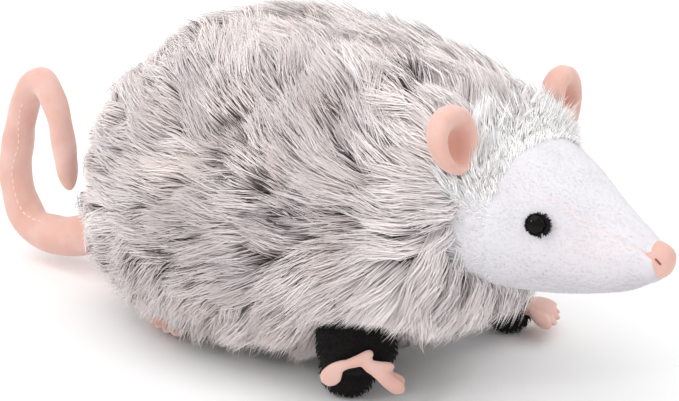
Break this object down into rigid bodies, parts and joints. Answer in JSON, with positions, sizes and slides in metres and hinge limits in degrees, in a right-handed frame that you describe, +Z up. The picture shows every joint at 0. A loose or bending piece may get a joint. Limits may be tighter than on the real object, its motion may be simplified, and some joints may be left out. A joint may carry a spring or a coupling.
{
  "type": "plush toy opossum",
  "caption": "Stuffed toy opossum standing on short legs, with a long frosted coat, a smooth white face and a bare pink tail curled up into a hook",
  "frame": {"origin": "on the floor, below the middle of the toy's box", "axes": "+X the way the nose points, +Y the toy's left side, +Z up from the floor"},
  "size_m": [0.3925, 0.1696, 0.1522],
  "materials": {
    "coat": "long frosted pile, dark at the root and pale at the tip",
    "ruff": "long pale pile",
    "face": "short white pile",
    "pink": "pink velour",
    "black": "short black pile",
    "eye": "glossy black"
  },
  "bodies": {
    "root": {"torso": "coat", "neck": "ruff", "head": "face", "nose": "pink", "eye_right": "eye", "eye_left": "eye", "ear_right": "pink", "ear_left": "pink", "foreleg_right": "black", "foreleg_left": "black", "hindleg_right": "black", "hindleg_left": "black", "hand_right": "pink", "hand_left": "pink", "foot_right": "pink", "foot_left": "pink", "tail_1": "pink", "tail_2": "pink", "tail_3": "pink", "tail_4": "pink"}
  },
  "joints": []
}
